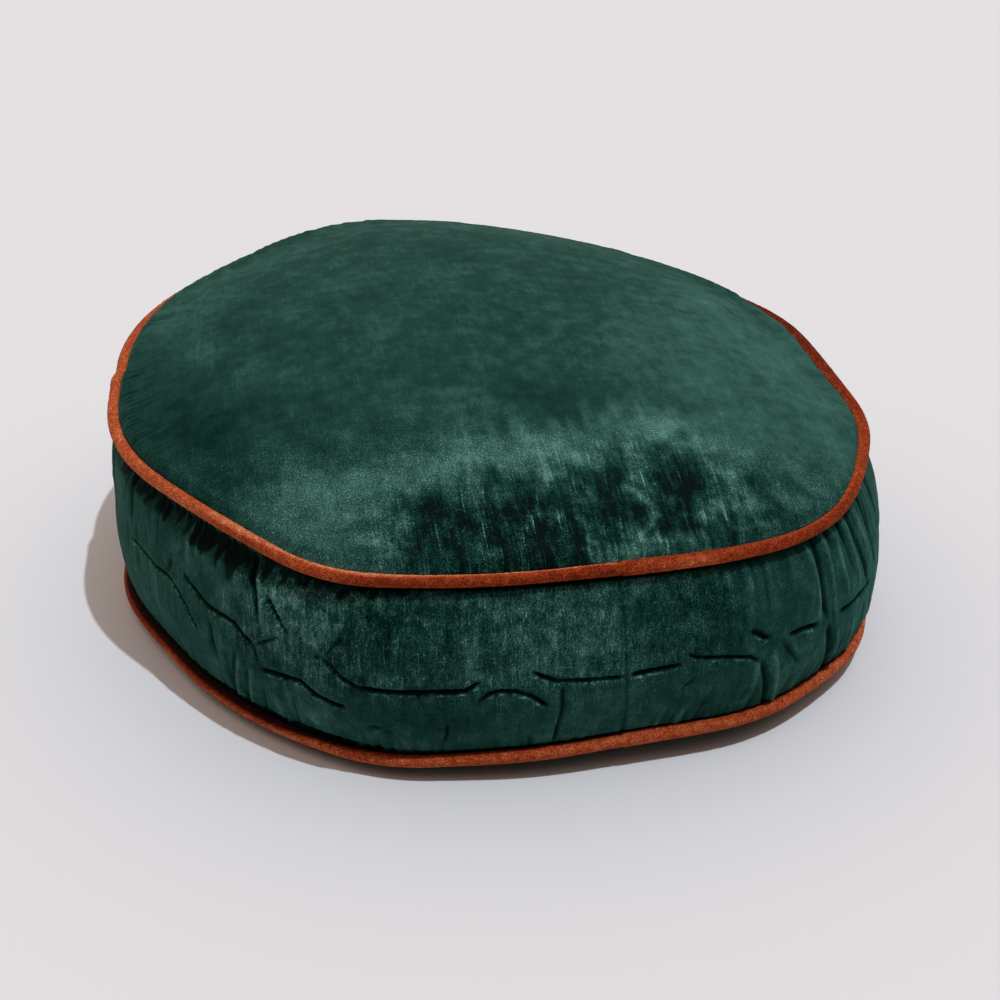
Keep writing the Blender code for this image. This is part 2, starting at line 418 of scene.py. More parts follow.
# Puckers along the rim, 4 mm apart or so: how deep they are in millimetres, by direction.
PUCKER_SPACING = 0.0043
PUCKER_DEPTHS = ((0, 0.10), (150, 0.18), (166, 0.45), (205, 0.45), (225, 0.12), (270, 0.05), (340, 0.10))
PUCKER_WIDTH = 0.3 * PUCKER_SPACING
PUCKER_START = 0.002
PUCKER_REACH = 0.018
PUCKER_SHADE = 0.30
PUCKER_EVEN = 0.35  # of the deepest: puckers of this depth are neither lit nor dark


def crushed_green_velvet(name, streak_turn, streak_size):
    """Crushed velvet of fine dark green pile. Brushed one way it shines pale teal, pressed the other way it
    turns nearly black, in streaks, scratches and clouds 10 and 40 mm across. streak_turn is in degrees and
    streak_size in metres along each axis, once turned. A real pile is under 0.1 mm across: its tufts are
    drawn 0.8 mm across, so that they show."""
    material, tree, place = bare_velvet(name)
    # The first mark is the pile's own lie, with painted light and shade added into it; the others say how
    # crushed the pile is and how much its grain shows.
    marks = ("nap", "crush", "grain")
    patterns = {m: add_node(tree, "Attribute", attribute_name=m).outputs["Fac"] for m in marks}
    streak = np.array(streak_size)
    for pattern, size, scale, detail, roughness in (
        ("tufts", (0.0006, 0.0009, 0.0009), 1.0, 1.0, 0.5),
        ("clouds", None, 95.0, 5.0, 0.65),
        ("patches", None, 26.0, 3.0, 0.5),
        ("streaks", streak, 1.0, 4.0, 0.6),
        ("scratches", streak / (7.0, 2.0, 2.0), 1.0, 1.0, 0.5),
        ("strokes", streak / (4.0, 3.5, 3.5), 1.0, 2.0, 0.5),
    ):
        noise = {"Vector": place, "Scale": scale, "Detail": detail, "Roughness": roughness}
        if size is not None:
            turned = {"Vector": place, "Rotation": (0.0, 0.0, math.radians(streak_turn)), "Scale": size}
            noise["Vector"] = add_node(tree, "Mapping", turned, vector_type="TEXTURE").outputs[0]
        patterns[pattern] = add_node(tree, "TexNoise", noise).outputs["Fac"]
    # Each pattern's middle values are spread out between two levels.
    for pattern, source, lowest, highest, low_level, high_level in (
        ("flecks", "tufts", 0.58, 0.72, 0.0, 0.13),
        ("fine", "scratches", 0.60, 0.75, 0.0, 0.70),
        ("brushed", "strokes", 0.30, 0.70, -0.30, 0.26),
        ("blotches", "clouds", 0.38, 0.62, -0.30, 0.22),
        ("stripes", "streaks", 0.34, 0.66, -0.28, 0.28),
    ):
        span = {"From Min": lowest, "From Max": highest, "To Min": low_level, "To Max": high_level}
        span["Value"] = patterns[source]
        patterns[pattern] = add_node(tree, "MapRange", span).outputs[0]
    # Each sum is a pattern, times its strength, added to what the row's last word names.
    for total, pattern, strength, added_to in (
        ("crushed", "blotches", 1.0, "fine"),
        ("crushed", "stripes", 1.0, "crushed"),
        ("crushed", "brushed", 1.0, "crushed"),
        ("tufted", "tufts", 0.85, "flecks"),
        ("tufted", 0.5, -0.85, "tufted"),
        ("level", "crushed", "crush", "nap"),
        ("level", "tufted", "grain", "level"),
        ("level", "clouds", 0.34, "level"),
        ("level", "patches", 0.34, "level"),
        ("level", 1.0, -0.34, "level"),
        ("relief", "streaks", 0.8, "tufts"),
    ):
        terms = {k: patterns.get(term, term) for k, term in enumerate((pattern, strength, added_to))}
        patterns[total] = add_node(tree, "Math", terms, operation="MULTIPLY_ADD").outputs[0]
    surface = {"Roughness": 0.85, "Sheen Weight": 0.17, "Sheen Roughness": 0.45, "Specular IOR Level": 0.05}
    surface["Sheen Tint"] = linear("#58B8A4")
    shades = ((0.0, "#000B09"), (0.25, "#01261F"), (0.5, "#183E37"), (0.75, "#376057"), (1.0, "#659288"))
    finish_velvet(tree, patterns["level"], shades, patterns["relief"], 0.35, surface)
    return material


def uneven(across, up, seed, cells=360):
    """Soft random lumps between -1 and 1, one to each unit of across and up; they repeat after cells."""
    lumps = np.random.default_rng(seed).uniform(-1.0, 1.0, (cells, 512))
    i, j = np.floor(across).astype(int), np.floor(up).astype(int)
    s, t = ease(across - i), ease(up - j)
    low, high = (
        lumps[i % cells, row % 512] * (1.0 - s) + lumps[(i + 1) % cells, row % 512] * s for row in (j, j + 1)
    )
    return low * (1.0 - t) + high * t


def soft_patches(x, y, patches):
    """Sum of soft oval patches, each (x, y, half length, half width, turn in degrees, amount)."""
    total = np.zeros(np.shape(x))
    for across, along, half_length, half_width, turned, amount in patches:
        c, s = math.cos(math.radians(turned)), math.sin(math.radians(turned))
        u = ((x - across) * c + (y - along) * s) / half_length
        v = ((y - along) * c - (x - across) * s) / half_width
        total += amount * bell(u * u + v * v)
    return total


# Patches of the top panel where the pile is lighter (+) or darker (-): the crushed pile's own tone, with
# painted sheen where it lies up towards the lamp, in millimetres and degrees: (x, y, half length, half width,
# turn, amount).
TOP_NAP_AND_SHEEN = (
    (-170, -70, 100, 30, -64, -0.2), (-120, -120, 50, 40, -45, -0.08), (140, -30, 80, 120, 0, 0.12),
    (42, -90, 36, 14, 8, -0.12), (18, -140, 46, 18, 4, 0.24), (70, -119, 48, 18, 8, 0.2),
    (120, -112, 30, 20, 10, 0.12), (-40, -158, 55, 14, 4, 0.14), (-95, -180, 42, 40, 0, 0.12),
    (-16, -198, 21, 27, 0, -0.46), (22, -196, 21, 33, 0, -0.47), (-42, -184, 10, 9, 0, -0.18),
    (50, -170, 10, 10, 0, -0.26), (49, -191, 4, 16, 0, -0.26), (57, -188, 3, 18, 4, 0.18),
    (68, -151, 13, 12, 10, -0.34), (70, -176, 13, 18, 0, -0.34), (103, -151, 17, 17, 14, -0.34),
    (102, -173, 15, 17, 0, -0.38), (86, -180, 3, 20, 4, 0.22), (122, -182, 12, 8, 15, -0.18),
    (148, -155, 9, 18, 0, -0.22), (158, -166, 10, 6, 15, -0.16), (168, -141, 7, 8, 0, -0.12),
)
TOP_CRUSH = ((0, -200, 55, 30, 2, 0.52), (85, -172, 70, 40, 12, 0.46))
TOP_GRAIN = ((0, -200, 55, 35, 0, 0.35),)
CRUSH_LEAST = 0.10
GRAIN_LEAST = 0.24  # behind GRAIN_FROM; it rises to 1 over GRAIN_EASE, towards the front
GRAIN_FROM = -0.085
GRAIN_EASE = 0.06
EDGE_WANDER = 0.007  # how far the patches' edges wander
EDGE_LUMP = 0.016
EDGE_TEETH = 0.006  # how far they run out along the streaks
TOOTH_WIDTH = 0.0032
TOOTH_LENGTH = 0.03
STREAK_LEAN = 0.2


def seam_edge(seam, cord, direction, angle):
    """Where a panel lies against a wrapped cord, at this angle round it."""
    radius = read_off(cord, direction)[0] / 1000.0 + CORD_ROOM
    return around_cord(seam, direction, np.broadcast_to(angle, radius.shape), radius)


def spaced(stretches):
    """Places along stretches that are each (from, to, how many)."""
    return np.concatenate([np.linspace(*stretch, endpoint=False) for stretch in stretches])


def rows_inwards(stretches):
    """A panel's rows from its lip inwards: each one's share of the reach, and the columns it keeps."""
    start = 1.0
    for end, rows, keep in stretches:
        for row in range(rows):
            yield start + (end - start) * row / rows, keep
        start = end


rim_directions = spaced(TOP_COLUMNS)
columns = len(rim_directions)
rings = [seam_edge(upper_seam, TOP_CORD, rim_directions, angle) for angle in TOP_TUCK]
lip = seam_edge(upper_seam, TOP_CORD, rim_directions, read_off(TOP_LIPS, rim_directions)[0])
lip_reach = np.hypot(lip[:, 0], lip[:, 1])
rim_length = np.radians(rim_directions) * lip_reach.mean()

chance = np.random.default_rng(21)
puckers = []
middle = rim_length[0] + PUCKER_SPACING
while middle < rim_length[-1]:
    puckers.append((middle, chance.uniform(0.5, 1.3), chance.uniform(0.5, 1.2), chance.uniform(-0.12, 0.12)))
    middle += PUCKER_SPACING * chance.uniform(0.75, 1.35)
rim_depths = read_off(PUCKER_DEPTHS, rim_directions)[0] / 1000.0


def crown_over(points):
    """How high the crown stands over these points."""
    return np.array([form_tree.ray_cast((x, y, FAR), (0.0, 0.0, -1.0))[0].z for x, y, _ in points])


def pucker_rows(inside, keep):
    """How deep the rim is puckered this far inside the seam, for one column in keep."""
    depth = np.zeros(columns)
    for at, strong, stretch, lean in puckers:
        near = np.abs(rim_length - at) < 3.0 * PUCKER_SPACING
        away = rim_length[near] - at - lean * inside.mean()
        fade = bell(inside.mean() / (PUCKER_REACH * stretch))
        depth[near] += strong * fade * bell(away / PUCKER_WIDTH)
    return depth[::keep]


lip_gap = soften_round(lip[:, 2] - crown_over(lip[::4])[np.arange(columns) // 4], 40)
row_puckers = [np.zeros(columns)] * len(TOP_TUCK)
for share, keep in rows_inwards(TOP_ROWS):
    kept = rim_directions[::keep]
    reach = lip_reach[::keep]
    ring = outward(kept) * (reach * share)[:, None]
    inside = reach * (1.0 - share)
    ring[:, 2] = crown_over(ring) + lip_gap[::keep] * np.exp(-inside / LIP_EASE)
    dipped = bell((inside - RIM_DIP_INSIDE) / RIM_DIP_WIDTH) * ease(inside / RIM_DIP_INSIDE)
    for at, half, dip in RIM_DIPS:
        ring[:, 2] -= dip / 1000.0 * dipped * bell(turned_from(kept, at) / half)
    drawn = pucker_rows(inside, keep) if inside.min() < 3.0 * PUCKER_REACH else np.zeros(len(reach))
    ring[:, 2] -= drawn * rim_depths[::keep] * ease(inside / PUCKER_START)
    row_puckers.append(drawn * rim_depths[::keep] * 1000.0)
    rings.append(ring)
x, y, _ = np.concatenate(rings).T
wander_x = x + EDGE_WANDER * uneven(x / EDGE_LUMP + 50, y / EDGE_LUMP + 50, 4)
wander_y = y + EDGE_WANDER * uneven(x / EDGE_LUMP + 50, y / EDGE_LUMP + 50, 5)
wander_y += EDGE_TEETH * uneven((x + STREAK_LEAN * y) / TOOTH_WIDTH + 90, y / TOOTH_LENGTH + 50, 6)
puckered = np.concatenate(row_puckers)
# The pile's own patches with painted sheen, then painted shade in the deeper puckers and painted light on the
# shallow ones.
nap = 0.5 + soft_patches(1000.0 * wander_x, 1000.0 * wander_y, TOP_NAP_AND_SHEEN)
nap += PUCKER_SHADE * (PUCKER_EVEN * rim_depths.max() * 1000.0 - puckered) * (puckered > 0)
crush = CRUSH_LEAST + soft_patches(1000.0 * wander_x, 1000.0 * wander_y, TOP_CRUSH)
grain = GRAIN_LEAST + (1.0 - GRAIN_LEAST) * ease((GRAIN_FROM - y) / GRAIN_EASE)
grain += soft_patches(1000.0 * x, 1000.0 * y, TOP_GRAIN)
top_panel = sew_rings("top_panel", rings, nap=nap, crush=crush, grain=grain)
top_panel.data.materials.append(
    crushed_green_velvet("green_velvet_crushed_top", 10.0, (0.0075, 0.045, 0.045))
)
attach(top_panel, "root")
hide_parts("cushion")

# ----------------------------------------------------------------
# The boxing band. A strip of the same velvet sewn end to end between the two seams and bellied out by the
# filling. It has buckled along its middle in sharp sideways creases, and is gathered upright at both ends.

BAND_START = 200.0
# Columns round the band, closer together over the front: (from, to, columns).
BAND_COLUMNS = ((BAND_START, 342.0, 650), (342.0, BAND_START + 360.0, 310))
# Rows up the band, closer together where the creases are: (from share, to share, rows).
BAND_ROWS = ((0.0, 0.03, 4), (0.03, 0.28, 12), (0.28, 0.64, 56), (0.64, 0.955, 16), (0.955, 1.0, 8))
BAND_TOP_LIP = -128.0
BAND_TOP_TUCK = (-145.0, -160.0, -175.0)
BAND_LOW_LIP = 132.0
BAND_LOW_TUCK = (180.0, 165.0, 148.0)
# Share of the band over which it comes out from behind a seam, and how far it is drawn in there in
# millimetres: (direction, share, drawn in).
TOP_DRAWN = (
    (195, 0.13, 3.2), (236, 0.16, 4.2), (247, 0.11, 2.8), (257, 0.06, 2), (272, 0.04, 2.4), (300, 0.04, 2.4),
    (315, 0.08, 1.4), (350, 0.09, 1.6),
)
LOW_DRAWN = (
    (195, 0.07, 1.6), (225, 0.07, 2.2), (250, 0.07, 2.4), (262, 0.04, 1.2), (295, 0.03, 0.8),
    (308, 0.02, 0.3), (350, 0.04, 0.8),
)
# Where the filling bulges less than elsewhere: (direction, half width in degrees, millimetres).
SLACK = ((196, 20, 0.6), (338, 14, 1.0))
FELT_STEP = 2.0  # the filling is felt on a coarse net: degrees round, and rows up
FELT_ROWS = 24


def form_reach(direction, height):
    """How far the filling reaches in a direction, at a height."""
    hit = form_tree.ray_cast((0.0, 0.0, height), outward(direction))[0]
    return math.hypot(hit.x, hit.y)


directions = spaced(BAND_COLUMNS)
columns = len(directions)
shares = np.append(spaced(BAND_ROWS), 1.0)
low_edge = seam_edge(lower_seam, BOTTOM_CORD, directions, BAND_LOW_LIP)
top_edge = seam_edge(upper_seam, TOP_CORD, directions, BAND_TOP_LIP)
felt_directions = np.arange(0.0, 360.0, FELT_STEP)
felt_shares = (np.arange(FELT_ROWS) + 0.5) / FELT_ROWS
felt_low, felt_top = (along_seam(seam, felt_directions)[1] for seam in (lower_seam, upper_seam))
felt_rise = felt_top - felt_low - 2 * PIPING_RADIUS
felt_height = felt_low + PIPING_RADIUS + felt_shares[:, None] * felt_rise
felt = np.vectorize(form_reach)(felt_directions, felt_height)
# The reach is read off this net for every point of the band, and softened round it and up it.
felt = soften_round(felt.T, 2).T
around = np.stack([np.interp(directions, felt_directions, row, period=360.0) for row in felt])
around = soften_round(around.T, 12).T
reach = np.stack([np.interp(shares, felt_shares, around[:, k]) for k in range(columns)], 1)
for _ in range(6):
    reach[1:-1] = 0.25 * reach[:-2] + 0.5 * reach[1:-1] + 0.25 * reach[2:]
height = low_edge[:, 2] + shares[:, None] * (top_edge[:, 2] - low_edge[:, 2])
for at, half, slack in SLACK:
    slack = slack / 1000.0 * bell(turned_from(directions, at) / half)
    reach = reach - slack * np.sin(math.pi * shares)[:, None]
for drawn, edge, row, away in ((LOW_DRAWN, low_edge, 0, shares), (TOP_DRAWN, top_edge, -1, 1.0 - shares)):
    gap = np.hypot(edge[:, 0], edge[:, 1]) - reach[row]
    span, inwards = read_off(drawn, directions)
    part = away[:, None] / span
    reach = reach + gap * (1.0 - ease(part))
    reach = reach - inwards / 1000.0 * 4.0 * np.clip(part * (1.0 - part), 0.0, None)

middle_line = outward(directions)[:, :2] * reach[len(shares) // 2][:, None]
arc = np.cumsum(np.append(0.0, np.hypot(*np.diff(middle_line, axis=0).T)))
rise = height - low_edge[:, 2]
full_rise = top_edge[:, 2] - low_edge[:, 2]
drop = full_rise - rise  # from the upper seam
ripple = np.zeros(reach.shape)  # how far the folds move the cloth outwards
# The pile's level; painted light and shade from the creases, folds, cord shadows and gap are added below.
nap = np.full(reach.shape, 0.5)


def along_line(line):
    """For a line of (direction, share) pairs: how far each point of the band is from it, how far to its left
    (above it, where it runs towards larger directions), how far along it, and its length."""
    turned = BAND_START + (np.array(line)[:, 0] - BAND_START) % 360.0
    x = np.interp(turned, directions, arc)
    y = np.array(line)[:, 1] * np.interp(turned, directions, full_rise)
    nearest = np.full(reach.shape, FAR)
    left = np.zeros(reach.shape)
    run = np.zeros(reach.shape)
    total = 0.0
    for x0, y0, x1, y1 in zip(x, y, x[1:], y[1:]):
        length = math.hypot(x1 - x0, y1 - y0)
        ux, uy = (x1 - x0) / length, (y1 - y0) / length
        dx, dy = arc[None, :] - x0, rise - y0
        t = dx * ux + dy * uy
        kept = np.clip(t, 0.0, length)
        away = np.hypot(dx - kept * ux, dy - kept * uy)
        closer = away < nearest
        nearest = np.where(closer, away, nearest)
        left = np.where(closer, ux * dy - uy * dx, left)
        run = np.where(closer, total + kept, run)
        total += length
    return nearest, left, run, total


# Sideways creases, where the cloth has buckled and closed on itself: how deep and wide each is and how far
# the cloth rolls over it, in millimetres, and where it runs: direction, share in percent, direction, share...
CREASES = (
    (3, 1.5, 0.9, (206, 56, 212, 55.5, 219, 55, 221.5, 52, 224, 46, 226.3, 36)),
    (3.6, 1.6, 1.2, (222.8, 64.5, 226, 60.5, 229.5, 56, 235, 56, 237, 51, 238.7, 48)),
    (1.4, 1.2, 0.5, (238.5, 49, 241, 55, 243.5, 62)), (1.8, 1.2, 0.3, (238.4, 50, 238.8, 43, 239, 37)),
    (3.8, 1.9, 1, (239.3, 35.5, 242.8, 37, 246.3, 39, 248.5, 33, 250.5, 31, 253, 30)),
    (2.6, 1.3, 0.6, (240.4, 80, 242, 77, 243.5, 70, 245.2, 63)), (3, 1.6, 0.8, (248.3, 55, 249.9, 59)),
    (2.8, 1.5, 0.9, (249.6, 58, 251, 53.5, 252.5, 48, 254.8, 44)),
    (3.8, 1.7, 1.4, (254.2, 44.5, 258, 43.5, 262, 44, 268.2, 44, 270.4, 50)),
    (1.8, 1.2, 0.5, (250.2, 59, 251.5, 66, 253.2, 73)),
    (2.8, 1.5, 0.7, (269.5, 35.5, 271, 41, 272.5, 42.5, 274.5, 42, 276.5, 38.5, 279, 30)),
    (2.4, 1.4, 0.9, (276.3, 54, 278, 49.5, 279.8, 46, 283, 44.5, 289, 43)),
    (3.8, 1.7, 1.1, (289.3, 43, 290.5, 44, 296.6, 45)),
    (2.4, 1.4, 0.7, (296.8, 51, 298.5, 47.5, 300.5, 46, 303, 44, 305.5, 41, 307, 35)),
    (3.6, 1.9, 0.8, (305, 59, 306.2, 56, 307.5, 51.5, 308.5, 50)),
    (3.4, 1.9, 0.8, (310.8, 47.5, 314, 47, 315.5, 45.5, 316.6, 43.5)),
    (3, 1.8, 0.6, (320.8, 43.5, 324, 42.5, 327, 42, 331.5, 40)),
    (1.2, 1.4, 0.3, (254.2, 17, 256.5, 20, 259.3, 16.5)), (1.4, 1.2, 0.2, (266, 26, 265.7, 18, 265.2, 7)),
    (1.8, 1.3, 0.3, (280.5, 44, 280.6, 28, 280, 14, 279.7, 2)),
    (1.2, 1.2, 0.3, (298.3, 35, 297.3, 32, 296, 27)), (1.4, 1.4, 0.3, (299.2, 32, 300, 27)),
    (1.4, 1.3, 0.2, (302.6, 95, 302, 86)), (2.8, 2, 0.8, (342, 46, 349, 46.5, 356, 51, 362, 49)),
    (2.8, 2, 0.8, (22, 52, 25, 53.5, 28, 52.5, 31, 50, 34, 49.5, 38, 46.5, 41, 46)),
    (1.8, 1.5, 0.5, (27, 54, 30.5, 60, 32.5, 67)),
    (3.2, 2, 1, (58, 41, 61, 43, 66, 42, 70, 45, 75, 45.5, 79, 48, 84, 46.5)),
    (2, 1.5, 0.5, (66, 43, 68.5, 36, 73, 33)), (1.8, 1.5, 0.4, (83, 48, 87, 54, 90, 56)),
    (2.6, 2, 0.8, (96, 55, 99, 53, 104, 50.5, 108, 46, 113, 44)), (2, 1.5, 0.5, (112, 44, 116, 50, 121, 52)),
    (3.2, 2, 1, (131, 43, 134, 45, 140, 43.5, 144, 46.5, 149, 47, 158, 49)),
    (2.2, 1.5, 0.5, (140, 45, 143.5, 53, 148, 56)), (1.8, 1.5, 0.4, (157, 50, 161, 44, 165, 43)),
    (2.8, 2, 0.8, (172, 50, 180, 51, 190, 55)),
)
CREASE_END = 0.006
BACK_FROM, BACK_TO = 342.0, 555.0
CREASE_WAVER = 0.00035
# Painted shade in the creases, lighter at the back, and a painted highlight on their lower lips.
CREASE_SHADE = 0.85
BACK_CREASE_SHADE = 0.51
# How strong the painted highlight on the lower lip of a crease is, by direction.
CREASE_LIP_HIGHLIGHT = ((312, 0.62), (322, 0.30), (BACK_FROM, 0.30), (BACK_FROM + 1, 0))
FULL_DEPTH = 0.003  # a crease this deep has the dark and the light given above


def pairs_of(places):
    """A line's (direction, share) pairs, from a row with its shares in percent."""
    return np.reshape(places, (-1, 2)) / (1.0, 100.0)


def lumpy(cells, lump_rise, seed, start=0.0):
    """Soft random lumps over the band: so many round it, and each so high."""
    return uneven(directions * cells / 360.0, rise / lump_rise + start, seed, cells)


waver = CREASE_WAVER * lumpy(900, 0.0012, 31)
strength = 0.8 + 0.3 * lumpy(150, 0.010, 32)
lip_highlight = np.interp(directions, *np.array(CREASE_LIP_HIGHLIGHT).T)
crease_shade = np.where(directions < BACK_FROM, CREASE_SHADE, BACK_CREASE_SHADE)
for depth, width, roll, places in CREASES:
    depth, width, roll = depth / 1000.0, width / 1000.0, roll / 1000.0
    nearest, left, run, length = along_line(pairs_of(places))
    fade = ease(run / CREASE_END) * ease((length - run) / CREASE_END) * strength
    nearest = np.abs(nearest + waver * np.sign(left))
    # A narrow valley, with the cloth rolled up above it and half as much below it.
    valley = -depth * np.exp(-((nearest / (width * 0.75)) ** 1.6))
    over = roll * bell((nearest / width - 2.2) / 2.4)
    under = 0.5 * roll * bell((nearest / width - 2.4) / 2.0)
    ripple += fade * (valley + np.where(left > 0, over, under))
    # Painted shade in the crease, and a painted highlight along its lower lip.
    nap -= crease_shade * depth / FULL_DEPTH * fade * bell(nearest / width / 0.78)
    lit = lip_highlight * min(depth / FULL_DEPTH, 1.0) * fade * bell((nearest / width - 1.25) / 0.45)
    nap += np.where(left < 0, lit * (0.4 + waver / CREASE_WAVER), 0.0)

# Upright folds, soft ridges (+) and troughs (-): how high and wide each is in millimetres, and where it runs.
FOLDS = (
    (-1.1, 3.6, (207, 100, 207, 62)), (-0.8, 2, (212.6, 100, 213, 82)), (-0.9, 3, (217, 100, 217.5, 84)),
    (0.7, 2.2, (223.6, 86, 221, 72, 219.5, 57)), (-0.8, 2.2, (222.4, 80, 220, 66, 218.7, 55)),
    (0.7, 1.3, (226, 100, 226.2, 72)), (-1.2, 2.8, (229.8, 53, 229.5, 36, 230.6, 24)),
    (0.6, 2.4, (232, 52, 231.8, 30, 231, 20)), (-1.9, 1.9, (237.2, 100, 238, 87, 239, 76, 239.6, 60)),
    (0.9, 2.6, (238.4, 100, 239.2, 87, 240.4, 74, 240.8, 60)), (0.8, 2, (236.2, 44, 234.2, 20, 232.7, 0)),
    (-0.9, 1.8, (235.2, 44, 233.2, 20, 231.6, 0)), (0.8, 2, (238.2, 38, 236.6, 15, 235.4, 0)),
    (-0.8, 1.7, (237.3, 38, 235.6, 15, 234.2, 0)), (-0.8, 1.8, (239.6, 28, 238.9, 12, 238.3, 0)),
    (0.7, 2.4, (241, 28, 241.7, 12, 242, 0)), (-0.7, 1.7, (244.5, 30, 244.7, 12, 244.6, 0)),
    (0.8, 4, (247.5, 26, 247.8, 8)), (-0.6, 1.6, (248, 100, 247.9, 80, 246.6, 68)),
    (-0.6, 2, (253.8, 100, 253.4, 76)), (-0.5, 2.2, (256, 92, 255.7, 70)),
    (-0.7, 1.8, (251.4, 28, 251.2, 18)), (-0.8, 2, (256.3, 12, 256.6, 0)),
    (-0.5, 1.6, (270.6, 80, 270.9, 64)), (0.5, 1.8, (271.6, 72, 271.9, 52)),
    (-0.5, 1.6, (273.6, 90, 273.7, 76, 274.5, 68, 274.6, 54)), (-0.5, 1.6, (265.8, 97, 266, 62)),
    (-0.6, 1.6, (276.6, 16, 276.5, 0)), (-0.5, 2, (268.4, 30, 268.2, 12)),
    (0.7, 2.6, (306.6, 44, 306, 20, 305, 4)), (-0.7, 2.2, (300.2, 26, 299.4, 12, 299, 0)),
    (0.6, 2.4, (298.4, 24, 296.8, 10, 296, 0)), (0.5, 2.4, (294.6, 18, 293.4, 0)),
    (-0.5, 1.4, (308.1, 100, 308, 62)), (0.6, 2.4, (303.4, 66, 304.8, 50, 306.2, 42)),
    (-1.9, 2.4, (306.8, 40, 307.8, 25, 308.5, 12, 309.2, 0)),
    (1.2, 2, (308.4, 46, 309.2, 30, 309.7, 15, 310.4, 0)),
    (-0.9, 1.8, (309.5, 50, 311, 38, 312.6, 28, 314.2, 20)), (0.7, 2.4, (310.6, 48, 312, 38, 313.6, 28)),
    (0.7, 2.6, (311.2, 60, 310.6, 52)), (-0.6, 2.4, (313.4, 76, 314.6, 58)),
    (0.9, 1.7, (315, 100, 315.6, 85, 316, 70, 316.2, 52, 317.4, 42)),
    (-1.8, 2.2, (316.6, 100, 316.6, 70, 317.4, 55, 318.6, 41)),
    (1.3, 1.7, (318.3, 100, 318.8, 70, 319.5, 50, 320.4, 38)),
    (-2.2, 3.2, (318.3, 44, 319.1, 30, 320.1, 15, 321.4, 0)), (1.1, 2, (320.4, 38, 320.9, 25, 322.4, 4)),
    (-0.9, 1.8, (319.6, 100, 320, 78)), (0.9, 2, (320.7, 100, 321.3, 75, 323, 46)),
    (-1, 2.2, (322.4, 100, 323.2, 78, 324.2, 60)), (0.9, 2.6, (323.8, 100, 324.8, 70, 326.4, 48)),
    (-1.7, 2.6, (325.6, 100, 326, 80, 327.6, 64, 329.2, 48, 330.4, 40)),
    (0.9, 3.4, (327.6, 95, 328.9, 75, 330.8, 50)), (-1.2, 3.4, (330.8, 100, 331.2, 80, 332.4, 58, 334.4, 42)),
    (0.8, 3.6, (333.6, 100, 334.4, 74, 336, 50)), (0.7, 3.4, (324, 36, 325.6, 16, 327, 0)),
    (-0.7, 3.2, (328, 36, 330, 16, 331.4, 0)), (0.6, 3.6, (331.6, 34, 333.6, 16, 335, 0)),
    (-0.9, 3.2, (337.2, 100, 338, 74, 339, 50)),
)
FOLD_END = 0.012
FOLD_RISE = 1.35
FOLD_SHADE = 0.20  # painted light or shade for each millimetre of fold, between the two below
FOLD_DARKEST, FOLD_LIGHTEST = -0.42, 0.24


def fold(high, wide, line, end=FOLD_END):
    """How far a fold along a line moves the cloth. It dies out at its ends, but not where it runs into a
    seam. Its height and width are in millimetres."""
    nearest, _, run, length = along_line(line)
    fade = 1.0 if line[0][1] >= 1.0 else ease(run / end)
    fade = fade * (1.0 if line[-1][1] <= 0.0 else ease((length - run) / end))
    return high / 1000.0 * fade * bell(nearest / wide * 1000.0)


upright = np.zeros(reach.shape)
for high, wide, places in FOLDS:
    upright += fold(FOLD_RISE * high, 0.7 * wide, pairs_of(places))

# The back, which lies against nothing, is folded in the same way at random.
BACK_FOLDS = 64
chance = np.random.default_rng(12)
for number in range(BACK_FOLDS):
    at = BACK_FROM + (BACK_TO - BACK_FROM) * (number + chance.uniform(0.1, 0.9)) / BACK_FOLDS
    top_down = chance.random() < 0.6
    far_share = chance.uniform(0.30, 0.75) if top_down else chance.uniform(0.20, 0.50)
    lean = chance.uniform(-2.5, 2.5)
    line = ((at, 1.0), (at + lean, far_share)) if top_down else ((at + lean, far_share), (at, 0.0))
    high = chance.uniform(0.5, 1.5) * chance.choice((-1.0, -1.0, 1.0))
    upright += fold(high, chance.uniform(2.4, 4.4), line, 2 * FOLD_END)

# Small upright wrinkles where the band turns, at the left and the right of its front, and faint ones between
# them: (from, to, how many, how strong).
WRINKLED = ((204.0, 246.0, 52, 1.0), (302.0, 342.0, 50, 1.0), (256.0, 298.0, 26, 0.5))
for from_direction, to_direction, number, strong in WRINKLED:
    for _ in range(number):
        at = chance.uniform(from_direction, to_direction)
        start_share = chance.uniform(0.02, 0.85)
        line = ((at, start_share), (at + chance.uniform(-1.2, 1.2), start_share + chance.uniform(0.12, 0.40)))
        high = chance.uniform(0.25, 0.70) * chance.choice((-1.0, -1.0, 1.0))
        upright += fold(strong * high, chance.uniform(0.9, 2.2), line)

